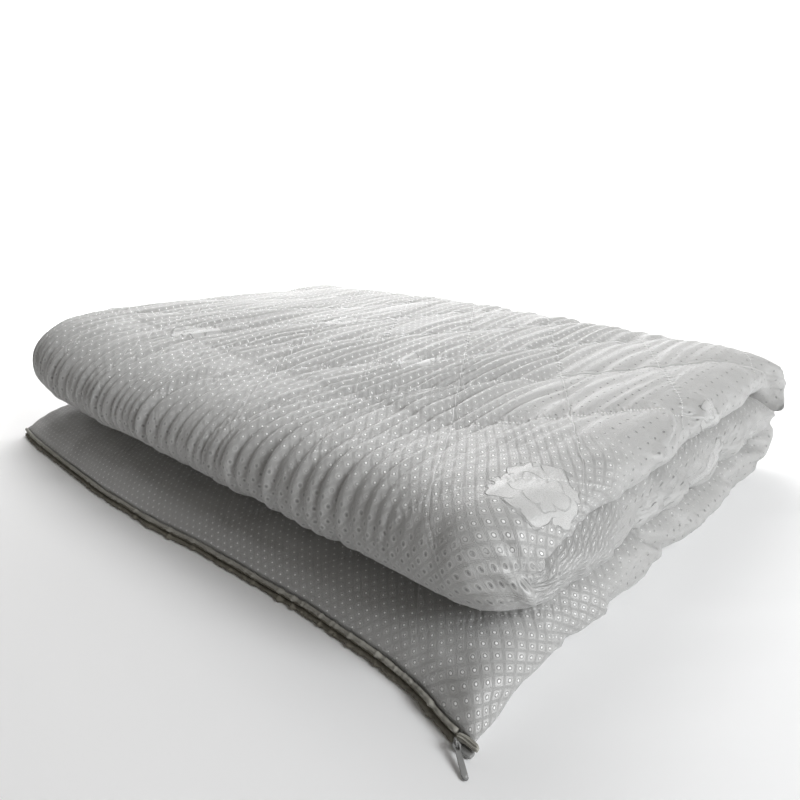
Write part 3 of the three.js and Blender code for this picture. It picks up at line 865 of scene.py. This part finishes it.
def stitching(u, v, wander, quilted):
    """Thread along the stitch lines, its separate stitches, and the puckers beside it."""
    across = (u - LATTICE[0] * MM) / (DIAMOND[0] * MM)
    along = (v - LATTICE[1] * MM) / (DIAMOND[1] * MM)
    steep = abs((across + along + 0.5).fract() - 0.5)
    flat = abs((across - along + 0.5).fract() - 0.5)
    off_line = (steep * 2.0).min(flat) * LINE_GAP
    run = ((across - along) * LINE_LENGTH).min((across + along) * LINE_LENGTH)
    pucker = (run * (2 * math.pi / PUCKER_PITCH) + wander * 9.0).sin()
    pucker = pucker * off_line.step(0.010, 0.0015) * quilted
    dash = (run * (2 * math.pi / STITCH_PITCH)).sin().step(-0.4, 0.4)
    return off_line.step(0.0013, 0.0005) * quilted, dash, pucker


def cover_material(colours):
    """Satin jacquard: dots in rings and double lined frames, stitched quilting, fine weave. The dots' light
    colour is partly a painted highlight, and at the front of the front fold they carry painted shade
    instead.
    """
    tree = Tree("satin_jacquard")
    u, v = tree.uv()
    place = tree.vector(u, v)
    pinhole, quilted, dim = (tree.value_of(key) for key in ("pinhole", "quilted", "dim"))
    weave = tree.noise(place, 900.0, 2.0, 0.6)
    blotch = tree.noise(place, 11.0, 3.0, 0.5)
    wander = tree.noise(place, 60.0, 1.0, 0.5) - 0.5

    dot, ring, halo, frames = dots_and_frames(u, v)
    petals, outlines = flowers(u, v, wander)
    stitch, dash, pucker = stitching(u, v, wander, quilted)

    clear, dotted = 1.0 - petals, 1.0 - pinhole
    fade = blotch.step(0.36, 0.52) * 0.3 + 0.7
    # Light dots: woven dots whose lightness is partly a painted highlight of satin catching the light, left
    # out where the painted shade lies
    bright = dot * dotted * (1.0 - dim) * clear * fade
    # Dark marks: the woven pinholes, and the dots' painted shade at the front of the front fold
    dark = (pinholes(u, v) * pinhole * clear).max(dot * dim * clear * 0.9)
    lines = (ring * 0.42 + frames * 0.16 * fade) * clear * dotted
    colour = tree.blend(bright, colours.satin, colours.thread)
    colour = tree.blend(lines, colour, colours.shade)
    colour = tree.blend(halo * clear * dotted * 0.14, colour, colours.thread)
    colour = tree.blend(dark * 0.6, colour, PINHOLE_AND_DOT_SHADE_COLOUR)
    colour = tree.blend(petals * 0.16, colour, colours.thread)
    colour = tree.blend(outlines * 0.4, colour, colours.shade)
    colour = tree.blend(stitch * dash * 0.7, colour, colours.thread)
    colour = tree.blend(((weave - 0.5) * 0.9).clamp(), colour, colours.shade)

    height = bright * 0.5 - dark * 0.9 - ring * clear * 0.4 - frames * clear * 0.35 * dotted
    height = height + pucker * 0.9 + (weave - 0.5) * 0.6 + petals * 0.4 - outlines * 0.9 - stitch * 0.2
    return tree.finish(
        base_color=colour,
        roughness=0.38 - bright * 0.2 - petals * 0.1 + (weave - 0.5) * 0.16,
        normal=tree.bump(height, 0.0008, 0.9),
        sheen_weight=0.3,
        sheen_roughness=0.35,
        specular_ior_level=0.6,
    )


def plain_material(name, colour, roughness, grain, depth):
    """A finish with fine grain in its colour, roughness and surface."""
    tree = Tree(name)
    place = tree.node("ShaderNodeTexCoord", None, None, "Object")
    spots = tree.noise(place, grain, 3.0, 0.6)
    shade = tuple(0.72 * value for value in colour)
    return tree.finish(
        base_color=tree.blend((spots - 0.35).clamp(), tuple(colour), shade),
        roughness=roughness + (spots - 0.5) * 0.2,
        normal=tree.bump(spots, depth, 0.6),
    )


class MATTRESS_OT_pad(bpy.types.Operator):
    """Builds the folded, quilted pad."""

    bl_idname = "mattress.pad"
    bl_label = "Quilted pad"

    def execute(self, context):
        piece = make_pad(context.scene.mattress_quilt)
        settle(piece, cover_material(context.scene.mattress_colours), "mattress")
        return {"FINISHED"}


def edge_line(x):
    """Y of the pad's front edge."""
    return LEDGE_Y[0] + soft_table(x, EDGE_PLAN_X, EDGE_PLAN_BACK, 12)


def tube_faces(rows, count, closed=False):
    """Two triangles for each square of a tube, whose rows join up again where it is closed."""
    r, c = np.meshgrid(np.arange(rows if closed else rows - 1), np.arange(count), indexing="ij")
    a, b = r * count + c, r * count + (c + 1) % count
    d, e = (r + 1) % rows * count + c, (r + 1) % rows * count + (c + 1) % count
    return np.concatenate([np.stack([a, d, b], -1), np.stack([b, d, e], -1)]).reshape(-1, 3)


def closed_tube(points):
    """A tube's points and triangles, with a point in the middle of each end."""
    rows, count = points.shape[:2]
    c = np.arange(count)
    flat = np.concatenate([points.reshape(-1, 3), points[0].mean(0)[None], points[-1].mean(0)[None]])
    first, last = np.full(count, rows * count), np.full(count, rows * count + 1)
    start = np.stack([c, (c + 1) % count, first], -1)
    end = np.stack([(rows - 1) * count + (c + 1) % count, (rows - 1) * count + c, last], -1)
    return flat, np.concatenate([tube_faces(rows, count), start, end])


def rounded_ends(x, start, end, radius):
    """1 along a bar, falling as a quarter circle to 0.25 at each end."""
    near = np.minimum(x - start, end - x)
    return np.sqrt(np.clip(1 - (1 - np.clip(near / radius, 0, 1)) ** 2 * 0.94, 0, 1))


def zip_roll(name):
    """One roll of the zip along the front edge.

    Its section is an ellipse. A lip swells and wanders every 6 to 8 mm as gathered cloth does,
    and the chain has one tooth for each pitch.
    """
    z, half_height, half_depth = ZIP_ROLLS[name]
    chain = name == "zip_chain"
    x = np.arange(ZIP_X[0], ZIP_X[1] + 0.01, 0.42 if chain else 1.3)[:, None]
    angle = np.linspace(0, 2 * np.pi, 13)[:-1][None]
    seed = 50 + len(name)
    wave = noise(x / 6.6, 0 * x, seed) + 0.6 * noise(x / 2.6, 0 * x + 3, seed)
    strands = 0 if chain else 0.13 * np.cos(6 * angle + 0.5 * x + 2 * noise(x / 11, 0 * x + 5, seed))
    slow = noise(x / 37, 0 * x + 9, seed)
    size = rounded_ends(x, *ZIP_X, 3.0) * (1 if chain else 0.9 + 0.2 * wave + strands)
    tooth = 0.86 + 0.14 * np.sign(np.sin(2 * np.pi * x / TOOTH_PITCH)) if chain else 1 + 0 * x
    lift = 0.25 * slow if chain else 0.45 * wave + 0.5 * slow
    out = 0 if chain else 0.55 * np.abs(wave)
    low = name == "zip_lip_lower"
    hem = (1.1 * noise(x / 7.2, 0 * x, 77) + 0.5) * np.maximum(0, -np.sin(angle)) if low else 0
    bulge = out * np.maximum(0, -np.cos(angle)) + hem
    y = edge_line(x) - 0.5 - half_depth * size * (1 - np.cos(angle) * tooth) - bulge
    z = z + half_height * size * np.sin(angle) * (1 - 0.12 * (1 - tooth)) + lift
    points = np.stack(np.broadcast_arrays(x, y, np.maximum(z, 0.05)), -1)
    return closed_tube(points)


def zip_tape_end():
    """The end of the tape past the slider: rolled ribs side by side that curl up at the tip."""
    t = np.linspace(0, 1, 40)[:, None]
    angle = np.linspace(0, 2 * np.pi, 49)[:-1][None]
    ribs = 1 + 0.2 * np.cos(7 * angle + 0.8 * np.sin(7 * t)) + 0.05 * noise(9 * t, angle, 61)
    size = np.sqrt(np.clip(1 - (2 * t - 1) ** 10, 0.05, 1)) * (1 - 0.1 * t)
    x = ZIP_X[1] + 0.4 + TAPE_END["length"] * t
    y = TAPE_END["y"] + 0.9 * np.sin(3.4 * t) + 2.2 * size * ribs * np.cos(angle)
    z = TAPE_END["z"] + 0.5 * t**2 + 3.1 * size * ribs * np.sin(angle)
    return closed_tube(np.stack(np.broadcast_arrays(x, y, z), -1))


def superellipsoid(middle, half, power, rows=24, count=36):
    """A rounded block: the sines and cosines of an ellipsoid raised to a power."""
    def curve(value):
        return np.sign(value) * np.abs(value) ** power

    t = np.linspace(0.02, np.pi - 0.02, rows)[:, None]
    angle = np.linspace(0, 2 * np.pi, count + 1)[:-1][None]
    x = -np.cos(t) + 0 * angle
    around = np.sin(t) ** power
    shape = np.stack([curve(x), around * curve(np.cos(angle)), around * curve(np.sin(angle))], -1)
    return closed_tube(np.array(middle) + np.array(half) * shape)


def joined(*parts):
    """Several closed shapes as one list of points and triangles."""
    starts = np.cumsum([0] + [len(points) for points, _ in parts[:-1]])
    triangles = [part[1] + start for part, start in zip(parts, starts)]
    return np.concatenate([part[0] for part in parts]), np.concatenate(triangles)


def pull_frame():
    """Unit vectors of the pull: along it, across it and out of its face."""
    along = unit(PULL_TIP - PULL_HOLE)
    across = unit(np.cross([0, 0, 1.0], along))
    return along, across, np.cross(along, across)


def pull_loop():
    """A wire ring through the pull's hole: a circle swept round a circle."""
    along, across, out = pull_frame()
    t = np.linspace(0, 2 * np.pi, 41)[:-1][:, None, None]
    angle = np.linspace(0, 2 * np.pi, 13)[:-1][None, :, None]
    spoke = np.cos(t) * along + np.sin(t) * out
    middle = PULL_HOLE - RING_RADIUS * along
    points = middle + (RING_RADIUS + WIRE_RADIUS * np.cos(angle)) * spoke
    points = points + WIRE_RADIUS * np.sin(angle) * across
    return points.reshape(-1, 3), tube_faces(40, 12, closed=True)


def pull_tab():
    """A flat pull with a round head and hole: a rounded bar bent round from hole to outline."""
    along, across, out = pull_frame()
    length = np.linalg.norm(PULL_TIP - PULL_HOLE)
    turn = np.linspace(0, 2 * np.pi, 97)[:-1][:, None]
    far = np.abs(np.sin(turn / 2)) ** 1.5
    reach = mix(-HEAD_REACH, length, far)
    widths = (0, 2.4, 3.3, 2.6, 1.7, 1.8, 2.2, 2.3, 2.2, 1.4, 0)
    places = (-HEAD_REACH, -2.8, 0, 2.6, 5.2, 7.5, 11, length - 4, length - 1.6, length - 0.5, length)
    wide = np.interp(reach, places, widths) * np.sign(np.sin(turn))
    wide = np.where((turn < 1e-6) | (np.abs(turn - np.pi) < 1e-6), 0, wide)
    angle = np.linspace(0, 2 * np.pi, 9)[:-1][None]
    share = 0.5 + 0.5 * np.cos(angle)
    far_along = mix(-HOLE_RADIUS * np.cos(turn), reach, share)
    far_across = mix(HOLE_RADIUS * np.sin(turn), wide, share)
    height = PULL_HALF_THICKNESS * np.sin(angle)
    points = PULL_HOLE + far_along[..., None] * along + far_across[..., None] * across
    points = points + height[..., None] * out
    return points.reshape(-1, 3), tube_faces(96, 8, closed=True)


class MATTRESS_OT_zip(bpy.types.Operator):
    """Builds the rolled lips, the chain and the tape's end along the front edge."""

    bl_idname = "mattress.zip"
    bl_label = "Zip"

    def execute(self, context):
        colours = context.scene.mattress_colours
        # The piping and tape colours hold painted shade: they are darker and warmer than the cloth
        piping = plain_material("piping", colours.piping, 0.6, 900, 0.0002)
        tape = plain_material("tape", colours.tape, 0.7, 900, 0.0002)
        for name in ZIP_ROLLS:
            piece = new_mesh(name + "_rolled", *zip_roll(name))
            material = piping if name == "zip_lip_upper" else tape
            settle(piece, material, name)
        settle(new_mesh("zip_tape_pleats", *zip_tape_end()), piping, "zip_tape_end")
        return {"FINISHED"}


class MATTRESS_OT_pull(bpy.types.Operator):
    """Builds the slider, its loop and the flat pull."""

    bl_idname = "mattress.pull"
    bl_label = "Zip pull"

    def execute(self, context):
        colours = context.scene.mattress_colours
        enamel = plain_material("pull_enamel", colours.pull, 0.35, 400, 0.00005)
        low, high = (np.array(corner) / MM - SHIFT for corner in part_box("zip_slider"))
        middle, half = (low + high) / 2, (high - low) / 2
        body = superellipsoid(middle, half * (1, 1, 0.82), 0.5)
        bridge = superellipsoid(middle + (0, 0, half[2] * 0.62), half * (0.62, 0.3, 0.38), 0.7)
        settle(new_mesh("slider_body", *joined(body, bridge)), enamel, "zip_slider")
        settle(new_mesh("pull_ring", *pull_loop()), enamel, "pull_loop")
        settle(new_mesh("pull_blade", *pull_tab()), enamel, "pull_tab")
        return {"FINISHED"}


class MATTRESS_OT_stage(bpy.types.Operator):
    """Sets the floor, the lights, the camera and a plain view of the colours."""

    bl_idname = "mattress.stage"
    bl_label = "Stage"

    def execute(self, context):
        scene = context.scene
        make_floor(scene.mattress_colours)
        make_lights(scene, scene.mattress_stage)
        make_camera(scene)
        scene.view_settings.view_transform = "Standard"
        return {"FINISHED"}


def make_floor(colours):
    """A plain pale floor, level with the underside of the pad, that sweeps up far behind it."""
    t = np.linspace(0, math.pi / 2, 25)
    away = np.concatenate([[FLOOR_NEAR], FLOOR_FAR + FLOOR_BEND * np.sin(t), [FLOOR_FAR + FLOOR_BEND]])
    up = np.concatenate([[0.0], FLOOR_BEND - FLOOR_BEND * np.cos(t), [FLOOR_HEIGHT]])
    azimuth = math.radians(CAMERA_AZIMUTH)
    forward = np.array([-math.sin(azimuth), math.cos(azimuth), 0])
    side = np.array([math.cos(azimuth), math.sin(azimuth), 0])
    middle = away[:, None, None] * forward + up[:, None, None] * np.array([0, 0, 1])
    points = middle + np.array([-FLOOR_HALF, FLOOR_HALF])[None, :, None] * side
    r = 2 * np.arange(len(away) - 1)
    faces = np.stack([r, r + 1, r + 3, r + 2], -1)
    mesh = bpy.data.meshes.new("floor")
    mesh.from_pydata(points.reshape(-1, 3).tolist(), [], faces.tolist())
    mesh.polygons.foreach_set("use_smooth", np.ones(len(faces), bool))
    floor = bpy.data.objects.new("floor", mesh)
    bpy.context.scene.collection.objects.link(floor)
    tree = Tree("floor")
    mesh.materials.append(tree.finish(base_color=tuple(colours.floor), roughness=0.9))


def make_light(name, power):
    """A square soft light at its place, turned to its target."""
    size, place, target, colour = LIGHTS[name]
    light = bpy.data.lights.new(name, "AREA")
    light.energy, light.size, light.color = power, size, colour
    lamp = bpy.data.objects.new(name, light)
    lamp.location = place
    lamp.rotation_euler = (Vector(target) - Vector(place)).to_track_quat("-Z", "Y").to_euler()
    bpy.context.scene.collection.objects.link(lamp)


def make_lights(scene, stage):
    """A big soft light from the right, a weak fill, one on the far floor, and an even sky."""
    make_light("key", stage.key_power)
    make_light("fill", stage.fill_power)
    make_light("backdrop", stage.backdrop_power)
    world = bpy.data.worlds.new("sky")
    world.use_nodes = True
    background = world.node_tree.nodes["Background"]
    background.inputs["Color"].default_value = (*SKY_COLOUR, 1)
    background.inputs["Strength"].default_value = stage.sky
    scene.world = world


def make_camera(scene):
    """The camera at the photo's angle."""
    data = bpy.data.cameras.new("camera")
    data.lens, data.sensor_width = CAMERA_LENS, CAMERA_SENSOR
    camera = bpy.data.objects.new("camera", data)
    azimuth, pitch = math.radians(CAMERA_AZIMUTH), math.radians(CAMERA_PITCH)
    forward = Vector(
        (-math.sin(azimuth) * math.cos(pitch), math.cos(azimuth) * math.cos(pitch), -math.sin(pitch))
    )
    turn = forward.to_track_quat("-Z", "Y").to_matrix() @ Matrix.Rotation(math.radians(CAMERA_ROLL), 3, "Z")
    place = Vector((CAMERA_PLACE + SHIFT) * MM)
    camera.matrix_world = Matrix.Translation(place) @ turn.to_4x4()
    scene.collection.objects.link(camera)
    scene.camera = camera


class MATTRESS_PT_panel(bpy.types.Panel):
    """Lists the mattress's sizes, colours and steps."""

    bl_label = "Folded mattress"
    bl_idname = "MATTRESS_PT_panel"
    bl_space_type = "VIEW_3D"
    bl_region_type = "UI"
    bl_category = "Mattress"

    def draw(self, context):
        scene = context.scene
        for group in (scene.mattress_quilt, scene.mattress_colours, scene.mattress_stage):
            for key in group.__annotations__:
                self.layout.prop(group, key)
        for step in STEPS:
            self.layout.operator(step.bl_idname)


STEPS = (MATTRESS_OT_pad, MATTRESS_OT_zip, MATTRESS_OT_pull, MATTRESS_OT_stage)
CLASSES = (QuiltSettings, ClothColours, StageSettings, *STEPS, MATTRESS_PT_panel)


def register():
    for cls in CLASSES:
        bpy.utils.register_class(cls)
    bpy.types.Scene.mattress_quilt = bpy.props.PointerProperty(type=QuiltSettings)
    bpy.types.Scene.mattress_colours = bpy.props.PointerProperty(type=ClothColours)
    bpy.types.Scene.mattress_stage = bpy.props.PointerProperty(type=StageSettings)


def unregister():
    del bpy.types.Scene.mattress_stage
    del bpy.types.Scene.mattress_colours
    del bpy.types.Scene.mattress_quilt
    for cls in reversed(CLASSES):
        bpy.utils.unregister_class(cls)


def main():
    """Registers the classes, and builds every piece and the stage."""
    register()
    bpy.ops.mattress.pad()
    bpy.ops.mattress.zip()
    bpy.ops.mattress.pull()
    bpy.ops.mattress.stage()


if __name__ == "__main__":
    main()
